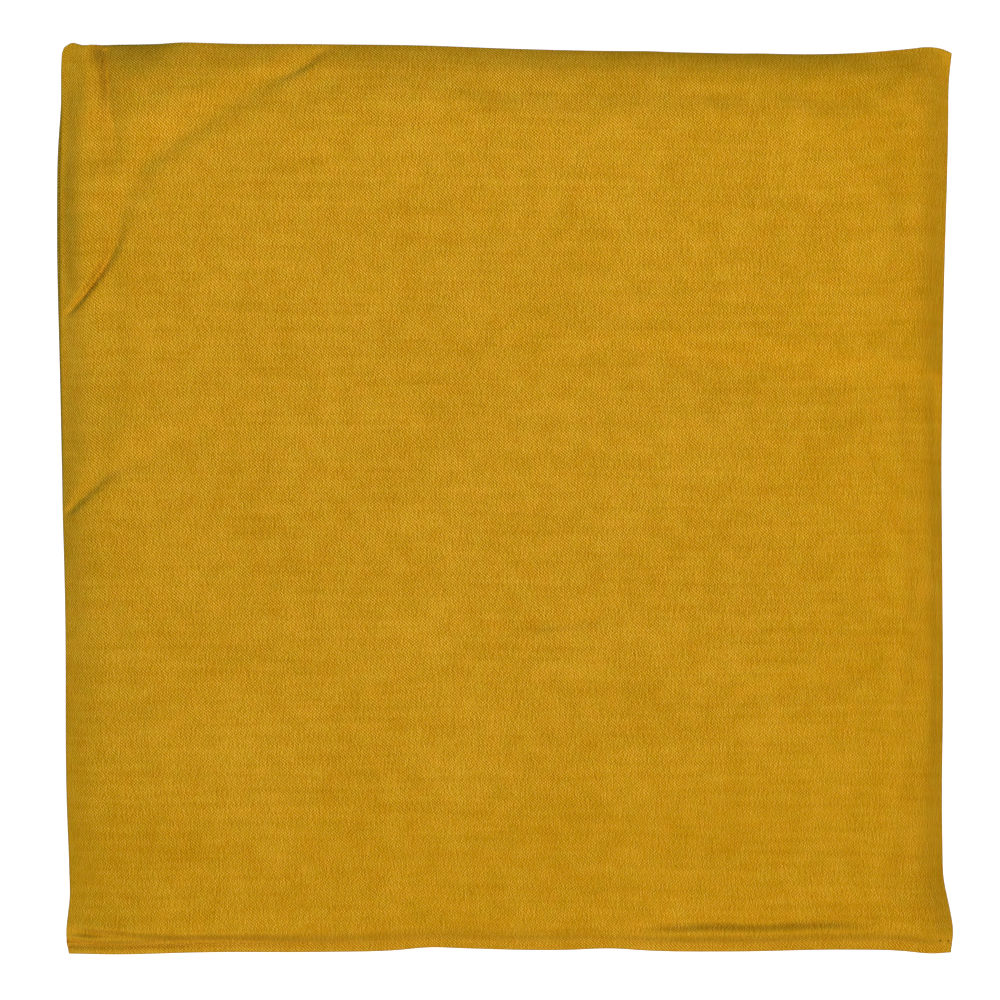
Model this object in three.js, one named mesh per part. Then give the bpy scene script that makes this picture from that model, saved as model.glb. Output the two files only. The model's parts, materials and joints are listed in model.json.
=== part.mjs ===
// A square heat pillow: a plain-woven cotton bag filled with grape seeds, lying on its back.
//
// Millimetres, +Z up. Seen from above, +X is the pillow's right and +Y its far edge.
// The origin is on the surface that the pillow lies on, under the middle of its outline.
//
// The bag is two panels, sewn together on three sides, turned and filled. The fourth side, at -Y,
// is folded in and topstitched, which leaves a narrow flat flap there. The loose seeds lie almost
// level, so the pillow is a low slab with round edges. Its sides draw in between the corners, and
// where the seeds have slid away from the far left corner the slack cloth lies in folds.
import * as THREE from "three";
import { mergeGeometries, mergeVertices } from "three/addons/utils/BufferGeometryUtils.js";

// Driving dimensions
const FILL_HEIGHT = 19; // top of the seeds where they reach the sides
const CROWN = 2.5; // how much higher they lie in the middle
const SIDE_SEAM_HEIGHT = 9; // the three sewn seams, midway along a side
const CLOSING_SEAM_HEIGHT = 5.5; // the topstitched edge, midway along it
const CORNER_SEAM_HEIGHT = 4; // the seams droop towards the four corners
const CORNER_DROOP_REACH = 32; // along a seam, from a corner
const FRONT_TURN = 15; // from a seam in to where the front panel reaches the seeds' top
const BACK_TURN = 18; // from a seam in to where the back panel meets the surface
const FLAP_WIDTH = 4.2; // from the closing edge to its stitches
const FLAP_THICKNESS = 2.4; // four layers of cloth
const FLAP_EDGE_ROUND = 0.8; // the folded edge's own radius
const FLAP_FADE = 8; // how far in the flap's layers are felt under the panels

// The four corners of the seam, seen from above
const CORNERS = {
  nearLeft: { x: -145.5, y: -151.7 },
  nearRight: { x: 148.6, y: -151.3 },
  farLeft: { x: -147.0, y: 150.6 },
  farRight: { x: 149.3, y: 148.4 },
};

// How far the cloth's top sinks around a corner that holds few seeds: the share of the filling's
// height that is missing at the corner itself, and how far from it the slack reaches
const CORNER_SLACK = [
  { corner: "nearLeft", missing: 0.4, reach: 26 },
  { corner: "nearRight", missing: 0.5, reach: 30 },
  { corner: "farLeft", missing: 0.5, reach: 70 },
  { corner: "farRight", missing: 0.45, reach: 28 },
];

// How far each side bows out of the straight line between its corners, or in where it is negative.
// "share" is the place along the side, from near to far or from left to right.
const LEFT_BOW = [
  { share: 0, out: 0 },
  { share: 0.02, out: 0.7 },
  { share: 0.07, out: -0.4 },
  { share: 0.17, out: 0.4 },
  { share: 0.39, out: 0.2 },
  { share: 0.52, out: 1.1 },
  { share: 0.62, out: 1.6 },
  { share: 0.82, out: 2.5 },
  { share: 0.94, out: 1.1 },
  { share: 0.985, out: 0.8 },
  { share: 1, out: 0 },
];
const RIGHT_BOW = [
  { share: 0, out: 0 },
  { share: 0.024, out: 0.7 },
  { share: 0.08, out: -2.1 },
  { share: 0.17, out: -2.8 },
  { share: 0.28, out: -2.9 },
  { share: 0.42, out: -3.5 },
  { share: 0.56, out: -3.7 },
  { share: 0.76, out: -2.6 },
  { share: 0.92, out: -1.8 },
  { share: 0.97, out: -1.4 },
  { share: 1, out: 0 },
];
const NEAR_BOW = [
  { share: 0, out: 0 },
  { share: 0.05, out: 0.1 },
  { share: 0.15, out: -0.6 },
  { share: 0.29, out: -0.7 },
  { share: 0.37, out: -1.0 },
  { share: 0.41, out: -2.0 },
  { share: 0.45, out: -1.4 },
  { share: 0.56, out: -0.9 },
  { share: 0.615, out: -1.6 },
  { share: 0.66, out: -0.9 },
  { share: 0.75, out: -0.7 },
  { share: 0.88, out: -1.3 },
  { share: 0.98, out: 0.1 },
  { share: 1, out: 0 },
];
const FAR_BOW = [
  { share: 0, out: 0 },
  { share: 0.012, out: 1.0 },
  { share: 0.03, out: 0.5 },
  { share: 0.06, out: 0.8 },
  { share: 0.2, out: 1.6 },
  { share: 0.4, out: 1.0 },
  { share: 0.6, out: -0.2 },
  { share: 0.78, out: -0.8 },
  { share: 0.9, out: -0.1 },
  { share: 0.975, out: 1.9 },
  { share: 1, out: 0 },
];

// The main folds of the front panel. Each row is a point on the bottom of the fold: where it lies,
// how deep and how wide it is there, and how high the cloth rolls up beside it, to the left of the
// way that the rows run.
const FOLDS = [
  {
    name: "arc across the far left corner, from the left seam to the far one",
    rows: [
      { x: -144.5, y: 62, depth: 2.2, width: 3.5, roll: 0.8 },
      { x: -131, y: 81, depth: 2.4, width: 4, roll: 1.0 },
      { x: -123.5, y: 101, depth: 1.8, width: 5, roll: 1.0 },
      { x: -108, y: 116, depth: 1.8, width: 5, roll: 1.4 },
      { x: -85, y: 132, depth: 2.0, width: 5, roll: 1.4 },
      { x: -60, y: 149, depth: 2.2, width: 4, roll: 0.6 },
    ],
  },
  {
    name: "branch from the far seam down into the arc",
    rows: [
      { x: -126.5, y: 98, depth: 0.6, width: 5, roll: 0.4 },
      { x: -130, y: 122, depth: 1.6, width: 4.5, roll: 1.0 },
      { x: -133.5, y: 148, depth: 2.2, width: 4, roll: 0.6 },
    ],
  },
  {
    name: "fold that runs in from the middle of the left seam",
    rows: [
      { x: -145, y: -6, depth: 2.0, width: 4, roll: 0.5 },
      { x: -134, y: 7, depth: 1.6, width: 4.5, roll: 0.7 },
      { x: -115, y: 18, depth: 0.8, width: 6, roll: 0.6 },
      { x: -86, y: 28, depth: 0.2, width: 7, roll: 0.2 },
    ],
  },
  {
    name: "long crease that runs in from the right seam",
    rows: [
      { x: -10, y: 59, depth: 0.1, width: 6, roll: 0.1 },
      { x: 45, y: 52, depth: 0.7, width: 5.5, roll: 0.6 },
      { x: 98, y: 45.5, depth: 0.9, width: 5, roll: 0.7 },
      { x: 142, y: 38, depth: 1.0, width: 5, roll: 0.4 },
    ],
  },
];
const FOLD_STATIONS = 40; // points that stand for a fold's bottom line
const ROLL_OFFSET = 1.5; // the roll's middle, in fold widths beside the bottom line
const JOIN_DISTANCE = 1e-3; // points of two panels this close are one point of the seam

// Broad swells and hollows where the seeds lie thicker or thinner
const SWELLS = [
  { x: 85, y: 95, height: 0.8, reach: 45 },
  { x: -20, y: -30, height: 0.7, reach: 60 },
  { x: 45, y: -115, height: 0.6, reach: 40 },
  { x: -118, y: -95, height: -1.1, reach: 34 },
  { x: 105, y: -35, height: -0.7, reach: 36 },
  { x: -30, y: 85, height: -0.6, reach: 38 },
];

// Grid lines of the front panel: close together where the cloth turns over at a seam, and then
// fine where the folds lie and coarse elsewhere. "upTo" is a distance from the left or near corner.
const TURN_LINES = [0, 0.8, 2.4, 4.2, 7, 10.5, 15];
const COLUMN_STEPS = [
  { upTo: 92, step: 5.2 },
  { upTo: Infinity, step: 12 },
];
const ROW_STEPS = [
  { upTo: 140, step: 12 },
  { upTo: 178, step: 6.5 },
  { upTo: Infinity, step: 5.2 },
];

// Rings of the back panel, as distances in from the seam
const BACK_RINGS = [0, 0.8, 4.2, 7, 11.5, 17, FLAP_WIDTH + BACK_TURN];

const COTTON = new THREE.MeshStandardMaterial({
  name: "mustard_cotton",
  color: new THREE.Color(0xc39018),
  roughness: 0.9,
  metalness: 0,
});

// A smooth curve through one column of a table
function columnCurve(rows, column, places) {
  const values = rows.map((row) => row[column]);
  const curve = new THREE.CubicInterpolant(Float32Array.from(places), Float32Array.from(values), 1);
  return (place) => curve.evaluate(place)[0];
}

// One side of the seam as a function of the share along it
function sideCurve(start, end, bowRows, outward) {
  const bow = columnCurve(bowRows, "out", bowRows.map((row) => row.share));
  return (share) => ({
    x: THREE.MathUtils.lerp(start.x, end.x, share) + outward.x * bow(share),
    y: THREE.MathUtils.lerp(start.y, end.y, share) + outward.y * bow(share),
  });
}

const { nearLeft, nearRight, farLeft, farRight } = CORNERS;
const leftSide = sideCurve(nearLeft, farLeft, LEFT_BOW, { x: -1, y: 0 });
const rightSide = sideCurve(nearRight, farRight, RIGHT_BOW, { x: 1, y: 0 });
const nearSide = sideCurve(nearLeft, nearRight, NEAR_BOW, { x: 0, y: -1 });
const farSide = sideCurve(farLeft, farRight, FAR_BOW, { x: 0, y: 1 });
const WIDTH = (nearRight.x - nearLeft.x + farRight.x - farLeft.x) / 2;
const LENGTH = (farLeft.y - nearLeft.y + farRight.y - nearRight.y) / 2;

// The point of a panel at shares s from left to right and t from near to far: the four sides
// blended, so that the panel's edges lie on the seam
function panelPoint(s, t) {
  const mix = (axis) =>
    (1 - s) * leftSide(t)[axis] +
    s * rightSide(t)[axis] +
    (1 - t) * nearSide(s)[axis] +
    t * farSide(s)[axis] -
    (1 - s) * (1 - t) * nearLeft[axis] -
    s * (1 - t) * nearRight[axis] -
    (1 - s) * t * farLeft[axis] -
    s * t * farRight[axis];
  return { x: mix("x"), y: mix("y") };
}

// A quarter round: 0 at the seam, 1 from "reach" inwards
function quarterRound(distance, reach) {
  const left = 1 - THREE.MathUtils.clamp(distance / reach, 0, 1);
  return Math.sqrt(1 - left * left);
}

// A soft bump: 1 in its middle, near 0 at twice its reach
const softBump = (distance, reach) => Math.exp(-((distance / reach) ** 2));

// How far a point at shares s and t is from each side
const sideDistances = (s, t) => ({
  left: s * WIDTH,
  right: (1 - s) * WIDTH,
  near: t * LENGTH,
  far: (1 - t) * LENGTH,
});

// The height at which the two panels meet, carried inwards from the nearest side
function seamHeight(s, t) {
  const d = sideDistances(s, t);
  const nearShare = softBump(d.near, CORNER_DROOP_REACH);
  const middle = THREE.MathUtils.lerp(SIDE_SEAM_HEIGHT, CLOSING_SEAM_HEIGHT, nearShare);
  const across = softBump(Math.min(d.left, d.right), CORNER_DROOP_REACH);
  const along = softBump(Math.min(d.near, d.far), CORNER_DROOP_REACH);
  return THREE.MathUtils.lerp(middle, CORNER_SEAM_HEIGHT, across * along);
}

// A fold as stations along its bottom line, each with its direction and its sizes there
function foldStations({ rows }) {
  const line = new THREE.CatmullRomCurve3(rows.map((row) => new THREE.Vector3(row.x, row.y, 0)));
  const places = rows.map((_, i) => i / (rows.length - 1));
  const size = (column) => columnCurve(rows, column, places);
  const [depth, width, roll] = [size("depth"), size("width"), size("roll")];
  return Array.from({ length: FOLD_STATIONS }, (_, i) => {
    const place = i / (FOLD_STATIONS - 1);
    const along = line.getTangent(place);
    return { at: line.getPoint(place), along, depth: depth(place), width: width(place), roll: roll(place) };
  });
}

const FOLD_LINES = FOLDS.map(foldStations);

// How much a fold raises the cloth at a point: down into its trough, up on the roll beside it
function foldRise(stations, point) {
  const away = ({ at }) => Math.hypot(point.x - at.x, point.y - at.y);
  const nearest = stations.reduce((best, station) => (away(station) < away(best) ? station : best));
  const { at, along, depth, width, roll } = nearest;
  const ahead = along.x * (point.x - at.x) + along.y * (point.y - at.y);
  const leftward = along.x * (point.y - at.y) - along.y * (point.x - at.x);
  const fromRoll = Math.hypot(ahead, leftward - ROLL_OFFSET * width);
  return roll * softBump(fromRoll, width) - depth * softBump(away(nearest), width);
}

// The top of the seeds under the front panel, before the panel turns down to the seam
function fillingTop(s, t, point) {
  const crown = CROWN * (1 - (2 * s - 1) ** 2) * (1 - (2 * t - 1) ** 2);
  const swells = SWELLS.reduce(
    (sum, { x, y, height, reach }) => sum + height * softBump(Math.hypot(point.x - x, point.y - y), reach),
    0,
  );
  return FILL_HEIGHT + crown + swells;
}

// How much of the filling's height is left near the corners that hold few seeds
function fullness(point) {
  return CORNER_SLACK.reduce((share, { corner, missing, reach }) => {
    const { x, y } = CORNERS[corner];
    return share * (1 - missing * softBump(Math.hypot(point.x - x, point.y - y), reach));
  }, 1);
}

// How far a panel has turned away from the seam: 0 on the seam and the flap, 1 over the filling
function turnShare(s, t, reach) {
  const d = sideDistances(s, t);
  const sides = quarterRound(d.left, reach) * quarterRound(d.right, reach);
  return sides * quarterRound(d.far, reach) * quarterRound(d.near - FLAP_WIDTH, reach);
}

// Half the flap's thickness at a point, which fades out over the filling
function flapHalf(s, t) {
  const d = sideDistances(s, t);
  const edge = quarterRound(Math.min(d.left, d.right, d.near), FLAP_EDGE_ROUND);
  return (FLAP_THICKNESS / 2) * edge * softBump(d.near, FLAP_FADE);
}

function frontHeight(s, t) {
  const point = panelPoint(s, t);
  const seam = seamHeight(s, t);
  const folds = FOLD_LINES.reduce((sum, stations) => sum + foldRise(stations, point), 0);
  const rise = (fillingTop(s, t, point) - seam) * fullness(point) + folds;
  return seam + flapHalf(s, t) + rise * turnShare(s, t, FRONT_TURN);
}

function backHeight(s, t) {
  return (seamHeight(s, t) - flapHalf(s, t)) * (1 - turnShare(s, t, BACK_TURN));
}

// Distances of the grid lines across a panel of the given size
function gridLines(size, steps) {
  const turn = TURN_LINES.at(-1);
  const lines = [...TURN_LINES];
  for (const { upTo, step } of steps) {
    const from = lines.at(-1);
    const to = Math.min(upTo, size - turn);
    const cells = Math.round((to - from) / step);
    for (let i = 1; i <= cells; i++) lines.push(THREE.MathUtils.lerp(from, to, i / cells));
  }
  return [...lines.slice(0, -1), ...TURN_LINES.map((line) => size - line).reverse()];
}

// The front panel, a plane whose points are moved to the cloth's form
function frontPanel(columns, rows) {
  const panel = new THREE.PlaneGeometry(1, 1, columns.length - 1, rows.length - 1);
  const position = panel.attributes.position;
  for (let i = 0; i < position.count; i++) {
    const s = columns[i % columns.length] / WIDTH;
    const t = rows[rows.length - 1 - Math.floor(i / columns.length)] / LENGTH;
    const { x, y } = panelPoint(s, t);
    position.setXYZ(i, x, y, frontHeight(s, t));
  }
  return panel;
}

// The grid points on the seam as shares s and t, once round the pillow, anticlockwise from above
function seamLoop(columns, rows) {
  const across = columns.map((line) => line / WIDTH);
  const along = rows.map((line) => line / LENGTH);
  return [
    ...across.slice(0, -1).map((s) => ({ s, t: 0 })),
    ...along.slice(0, -1).map((t) => ({ s: 1, t })),
    ...across.slice(1).reverse().map((s) => ({ s, t: 1 })),
    ...along.slice(1).reverse().map((t) => ({ s: 0, t })),
  ];
}

// The back panel: rings that turn under from the seam, and a flat middle that rests on the surface
function backPanel(loop) {
  const rings = new THREE.RingGeometry(1, 2, loop.length, BACK_RINGS.length - 1);
  const position = rings.attributes.position;
  const inwards = (share, distance, size) => distance / size + share * (1 - (2 * distance) / size);
  const place = (i, ring) => {
    const { s, t } = loop[i % loop.length];
    const distance = BACK_RINGS[ring];
    const at = { s: inwards(s, distance, WIDTH), t: inwards(t, distance, LENGTH) };
    return { ...panelPoint(at.s, at.t), z: backHeight(at.s, at.t) };
  };
  const stride = loop.length + 1;
  for (let i = 0; i < position.count; i++) {
    const ring = BACK_RINGS.length - 1 - Math.floor(i / stride);
    const { x, y, z } = place(i % stride, ring);
    position.setXYZ(i, x, y, z);
  }
  const middle = new THREE.CircleGeometry(1, loop.length);
  const rim = middle.attributes.position;
  rim.setXYZ(0, 0, 0, 0);
  for (let i = 1; i < rim.count; i++) {
    const { x, y } = place(i - 1, BACK_RINGS.length - 1);
    rim.setXYZ(i, x, y, 0);
  }
  return [rings, middle].map(turnedOver);
}

// The same faces, seen from below
function turnedOver(geometry) {
  const index = geometry.index.array;
  for (let i = 0; i < index.length; i += 3) [index[i], index[i + 1]] = [index[i + 1], index[i]];
  return geometry;
}

// The closed pillow: both panels, joined along the seam
function pillowGeometry() {
  const columns = gridLines(WIDTH, COLUMN_STEPS);
  const rows = gridLines(LENGTH, ROW_STEPS);
  const panels = [frontPanel(columns, rows), ...backPanel(seamLoop(columns, rows))];
  for (const panel of panels) {
    panel.deleteAttribute("normal");
    panel.deleteAttribute("uv");
  }
  const closed = mergeVertices(mergeGeometries(panels), JOIN_DISTANCE);
  closed.computeBoundingBox();
  const middle = closed.boundingBox.getCenter(new THREE.Vector3());
  closed.translate(-middle.x, -middle.y, 0);
  closed.computeVertexNormals();
  return closed;
}

const pillow = new THREE.Mesh(pillowGeometry(), COTTON);
pillow.name = "seed_pillow";

const heatPillow = new THREE.Group();
heatPillow.name = "heat_pillow";
heatPillow.add(pillow);

export default heatPillow;
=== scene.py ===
# %% [markdown]
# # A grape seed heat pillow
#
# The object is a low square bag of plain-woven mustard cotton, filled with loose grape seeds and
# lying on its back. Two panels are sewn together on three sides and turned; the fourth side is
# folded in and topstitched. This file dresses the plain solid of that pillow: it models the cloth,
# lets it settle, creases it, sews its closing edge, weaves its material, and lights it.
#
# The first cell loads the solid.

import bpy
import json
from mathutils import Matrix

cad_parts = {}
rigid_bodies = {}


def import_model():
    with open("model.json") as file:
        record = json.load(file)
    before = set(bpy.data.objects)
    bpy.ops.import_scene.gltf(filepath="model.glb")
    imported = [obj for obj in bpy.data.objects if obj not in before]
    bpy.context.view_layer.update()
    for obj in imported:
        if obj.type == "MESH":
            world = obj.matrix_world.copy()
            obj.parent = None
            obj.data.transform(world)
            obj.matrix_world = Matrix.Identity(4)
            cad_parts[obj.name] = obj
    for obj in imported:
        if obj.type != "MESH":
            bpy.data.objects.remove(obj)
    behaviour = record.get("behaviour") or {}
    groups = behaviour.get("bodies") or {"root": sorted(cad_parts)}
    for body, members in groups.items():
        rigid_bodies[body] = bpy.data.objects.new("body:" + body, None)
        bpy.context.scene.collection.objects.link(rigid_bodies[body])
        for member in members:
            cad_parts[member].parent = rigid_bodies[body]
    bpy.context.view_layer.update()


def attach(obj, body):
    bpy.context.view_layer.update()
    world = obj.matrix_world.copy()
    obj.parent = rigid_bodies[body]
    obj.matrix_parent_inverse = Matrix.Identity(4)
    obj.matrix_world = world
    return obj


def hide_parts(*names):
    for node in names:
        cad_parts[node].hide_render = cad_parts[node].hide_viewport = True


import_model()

import json

import bmesh
import bpy
import numpy as np
from mathutils import Matrix, Vector, noise
from mathutils.bvhtree import BVHTree

SOLID = "seed_pillow"
MM = 0.001

# %% [markdown]
# ## The sewn outline
#
# A sewn bag is never a true square. Its seam runs between four corners, and between them the
# filling draws each side in or pushes it out by a few millimetres. So the outline is four straight
# sides plus a short table of how far each one bows, which is easier to read and to change than a
# list of points. `smooth_curve` runs a soft line through the rows of such a table.

# %% Corners and bows of the four sides
near_left, near_right = np.array((-145.8, -152.1)), np.array((148.9, -151.6))
far_left, far_right = np.array((-147.3, 150.6)), np.array((149.3, 148.4))
WIDTH = (near_right - near_left + far_right - far_left)[0] / 2
LENGTH = (far_left - near_left + far_right - near_right)[1] / 2

# Share along the side (from near to far, or left to right) and how far it bows out there, in mm
LEFT_BOW = [
    (0, 0), (0.02, 0.9), (0.045, 0.3), (0.06, -0.3), (0.085, -0.2), (0.17, 0.6), (0.39, 0.8), (0.47, 1.3),
    (0.52, 1.8), (0.62, 2.4), (0.82, 3.1), (0.88, 2.8), (0.94, 1.6), (0.985, 0.9), (0.994, 0.7), (1, 0),
]
RIGHT_BOW = [
    (0, 0), (0.024, 0.8), (0.05, -0.4), (0.08, -2.3), (0.12, -2.8), (0.17, -3.1), (0.28, -3.0),
    (0.42, -3.3), (0.56, -3.6), (0.76, -2.5), (0.86, -1.7), (0.92, -1.3), (0.97, -1.0), (1, 0),
]
NEAR_BOW = [
    (0, 0), (0.05, 0.1), (0.15, -0.8), (0.29, -0.9), (0.37, -1.4), (0.41, -2.4), (0.45, -2.0), (0.56, -1.4),
    (0.615, -1.9), (0.66, -1.1), (0.75, -0.8), (0.88, -1.3), (0.94, -0.8), (0.98, 0.3), (1, 0),
]
FAR_BOW = [
    (0, 0), (0.009, 1.6), (0.022, 0.6), (0.04, 1.5), (0.08, 1.8), (0.2, 1.4), (0.4, 1.3), (0.5, 0.55),
    (0.6, 0.1), (0.73, 0), (0.78, -0.4), (0.85, -0.5), (0.9, 0.1), (0.95, 1.5), (0.975, 2.3), (0.988, 1.8),
    (1, 0.4),
]


def smooth_curve(places, values, at):
    """A soft line through a table's rows: cubics whose slopes come from the neighbouring rows."""
    places, values = np.asarray(places, float), np.asarray(values, float)
    slopes = np.gradient(values, places)
    cell = np.clip(np.searchsorted(places, at) - 1, 0, len(places) - 2)
    span = places[cell + 1] - places[cell]
    u = (at - places[cell]) / span
    start = (1 + 2 * u) * (1 - u) ** 2 * values[cell] + u * (1 - u) ** 2 * slopes[cell] * span
    end = (3 - 2 * u) * u**2 * values[cell + 1] - (1 - u) * u**2 * slopes[cell + 1] * span
    return start + end


def side_points(start, end, bow, outward, share):
    """Points of one side of the outline, at shares along it."""
    shares, outs = zip(*bow)
    straight = start + np.outer(share, end - start)
    return straight + np.outer(smooth_curve(shares, outs, share), outward)


def panel_places(s, t):
    """Where the panels' points at shares s and t lie, seen from above: the four sides blended."""
    left = side_points(near_left, far_left, LEFT_BOW, (-1, 0), t)
    right = side_points(near_right, far_right, RIGHT_BOW, (1, 0), t)
    near = side_points(near_left, near_right, NEAR_BOW, (0, -1), s)
    far = side_points(far_left, far_right, FAR_BOW, (0, 1), s)
    s, t = s[:, None], t[:, None]
    flat = (1 - t) * ((1 - s) * near_left + s * near_right) + t * ((1 - s) * far_left + s * far_right)
    return (1 - s) * left + s * right + (1 - t) * near + t * far - flat


print(f"panels about {WIDTH:.1f} by {LENGTH:.1f} mm between their corners")

# %% [markdown]
# ## The filled form
#
# Loose seeds lie almost level, so the pillow is a low slab with round edges rather than a puffed
# dome. The front panel leaves the seam and rolls over on to the seeds; the back panel rolls under on
# to the surface. The front's rolls differ from side to side, so each has its own reach and its own
# tightness: at 1 it is a slow, even bend, and below 1 it rises faster at the seam. The seam itself
# lies high where the seeds push it up and low in the corners, which hold few of them. The right seam
# is pressed into a thin rim, and the closing edge into a flat flap.

# %% Sizes of the filling, the seams and the closing flap, in mm
FILL_HEIGHT = 17.0
CROWN = 2.0
NEAR_DROP = 1.5
NEAR_DROP_REACH = 60.0
# How wide the rolls beside the seams are, as a rule: the front's, the back's, the back's at the left
FRONT_TURN = 15.0
BACK_TURN = 18.0
LEFT_BACK_TURN = 9.0
FLAP_WIDTH = 3.0
FLAP_THICKNESS = 2.0
FLAP_FADE = 6.0
RIM_WIDTH = 0.6
RIM_THICKNESS = 1.4
RIM_FADE = 2.4
EDGE_ROUND = 0.8
# Points closer than this count as lying on the seam
AT_THE_SEAM = 0.01

# The tables below run along the sides: a share, from near to far or from left to right, and a value.
# Heights of the seam
LEFT_SEAM = [
    (0, 5), (0.06, 4.7), (0.3, 4.5), (0.42, 6.2), (0.48, 7.5), (0.52, 7), (0.62, 6.2), (0.76, 7.4),
    (0.9, 7), (1, 6.5),
]
RIGHT_SEAM = [
    (0, 6), (0.05, 6), (0.1, 5.8), (0.18, 7.8), (0.28, 9.6), (0.55, 9.8), (0.62, 10), (0.7, 7.8),
    (0.92, 7.5), (1, 6),
]
NEAR_SEAM = [(0, 5), (0.08, 8.5), (0.15, 10.5), (0.85, 10.5), (0.93, 8.5), (1, 6)]
FAR_SEAM = [
    (0, 6.5), (0.015, 8), (0.034, 8.5), (0.0435, 3.0), (0.065, 4.2), (0.085, 5.2), (0.1, 6.6), (0.13, 10),
    (0.2, 10.2), (0.26, 11.4), (0.31, 10.3), (0.42, 10.3), (0.55, 8.7), (0.75, 9.2), (0.86, 8.7),
    (0.92, 9.2), (0.96, 7.8), (1, 6),
]

# How far in the front panel's rolls reach
LEFT_REACH = [
    (0, 32), (0.27, 32), (0.36, 26), (0.44, 16), (0.5, 15.5), (0.56, 22), (0.68, 23), (0.76, 13.5),
    (0.88, 13), (0.94, 11), (1, 10),
]
RIGHT_REACH = [(0, 15), (0.07, 16), (0.13, 15.5), (0.22, 10.5), (0.55, 10), (0.7, 15), (1, 14)]
NEAR_REACH = [(0, 4.4), (0.25, 4.4), (0.35, 5.4), (0.57, 5.8), (0.65, 4.8), (0.84, 4.8), (0.9, 6), (1, 6)]
FAR_REACH = [
    (0, 9.5), (0.035, 9.5), (0.05, 10), (0.075, 15.5), (0.09, 16.5), (0.14, 18.5), (0.2, 19), (0.3, 16),
    (0.4, 17), (0.6, 17.5), (0.75, 15.5), (0.86, 15.5), (0.92, 15), (1, 12),
]

# How tight those rolls are
LEFT_TIGHTNESS = [(0, 0.85), (0.68, 0.85), (0.78, 1.05), (1, 1.0)]
RIGHT_TIGHTNESS = [(0, 0.9), (1, 0.9)]
NEAR_TIGHTNESS = [(0, 0.95), (1, 0.95)]
FAR_TIGHTNESS = [(0, 0.9), (0.12, 0.88), (0.2, 0.85), (0.86, 0.85), (0.92, 1.1), (1, 1.1)]

# How thick the layers inside the left seam are, which make a bead on its far half
LEFT_BEAD = [(0, 0.4), (0.5, 0.5), (0.55, 0.9), (0.66, 1.0), (0.76, 1.8), (0.92, 1.7), (1, 0.8)]
BEAD_FADE = 1.4

# Corner, share of the filling's height that is missing there, how far the slack reaches
CORNER_SLACK = [
    (near_left, 0.12, 20.0),
    (near_right, 0.1, 20.0),
    (far_left, 0.65, 20.0),
    (far_right, 0.3, 24.0),
]

# Swells and hollows of the seeds: x, y, height, reach
SWELLS = [
    (85, 95, 0.8, 45),
    (-20, -30, 0.7, 60),
    (45, -115, 0.6, 40),
    (-118, -95, -1.1, 34),
    (105, -35, -0.7, 36),
    (-30, 85, -0.6, 38),
]


def quarter_round(distance, reach):
    """0 on the seam, 1 from `reach` inwards, along a quarter circle."""
    return np.sqrt(1 - (1 - np.clip(distance / reach, 0, 1)) ** 2)


def rolled(distance, reach, tightness):
    """0 on the seam, 1 from `reach` inwards, along a bend that can be slow or tight."""
    return np.sin(np.pi / 2 * np.clip(distance / reach, 0, 1) ** tightness)


def along_side(share, table):
    """A soft line through a side's table, never past its lowest and its highest row."""
    places, values = zip(*table)
    return np.clip(smooth_curve(places, values, share), min(values), max(values))


def soft_bump(distance, reach):
    """1 in the middle, near 0 at twice the reach."""
    return np.exp(-((distance / reach) ** 2))


def side_distances(s, t):
    """How far points are from the left, right, near and far side."""
    return s * WIDTH, (1 - s) * WIDTH, t * LENGTH, (1 - t) * LENGTH


def seam_height(s, t):
    """The height at which the two panels meet, carried inwards from the nearest sides."""
    tables = zip((t, t, s, s), (LEFT_SEAM, RIGHT_SEAM, NEAR_SEAM, FAR_SEAM))
    heights = [along_side(share, table) for share, table in tables]
    nearness = [1 / (distance + AT_THE_SEAM) ** 2 for distance in side_distances(s, t)]
    return np.average(heights, axis=0, weights=nearness)


def front_turn(s, t):
    """How far the front panel has turned over on to the seeds: 0 on seam, rim and flap, then up to 1."""
    left, right, near, far = side_distances(s, t)
    left_side = rolled(left, along_side(t, LEFT_REACH), along_side(t, LEFT_TIGHTNESS))
    right_side = rolled(right - RIM_WIDTH, along_side(t, RIGHT_REACH), along_side(t, RIGHT_TIGHTNESS))
    near_side = rolled(near - FLAP_WIDTH, along_side(s, NEAR_REACH), along_side(s, NEAR_TIGHTNESS))
    far_side = rolled(far, along_side(s, FAR_REACH), along_side(s, FAR_TIGHTNESS))
    return left_side * right_side * near_side * far_side


def back_turn(s, t):
    """How far the back panel has turned under on to the surface it lies on."""
    left, right, near, far = side_distances(s, t)
    sides = quarter_round(left, LEFT_BACK_TURN) * quarter_round(right - RIM_WIDTH, BACK_TURN)
    return sides * quarter_round(far, BACK_TURN) * quarter_round(near - FLAP_WIDTH, BACK_TURN)


def edge_half(s, t):
    """Half the thickness of the flap, the rim and the bead, which fade out over the filling."""
    left, right, near, far = side_distances(s, t)
    flap = FLAP_THICKNESS * soft_bump(near, FLAP_FADE)
    rim = RIM_THICKNESS * soft_bump(right, RIM_FADE)
    bead = along_side(t, LEFT_BEAD) * soft_bump(left, BEAD_FADE)
    edge = np.minimum(np.minimum(left, right), np.minimum(near, far))
    return np.maximum(np.maximum(flap, rim), bead) / 2 * quarter_round(edge, EDGE_ROUND)


# %% [markdown]
# Along the upper left side, and in two short places of the far side, the seam doesn't lie on the
# outline: the back panel bulges out past it and shows as a thin dark line. So both panels' edges are
# moved inwards there, and a little further down the back panel swings out again.

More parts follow.
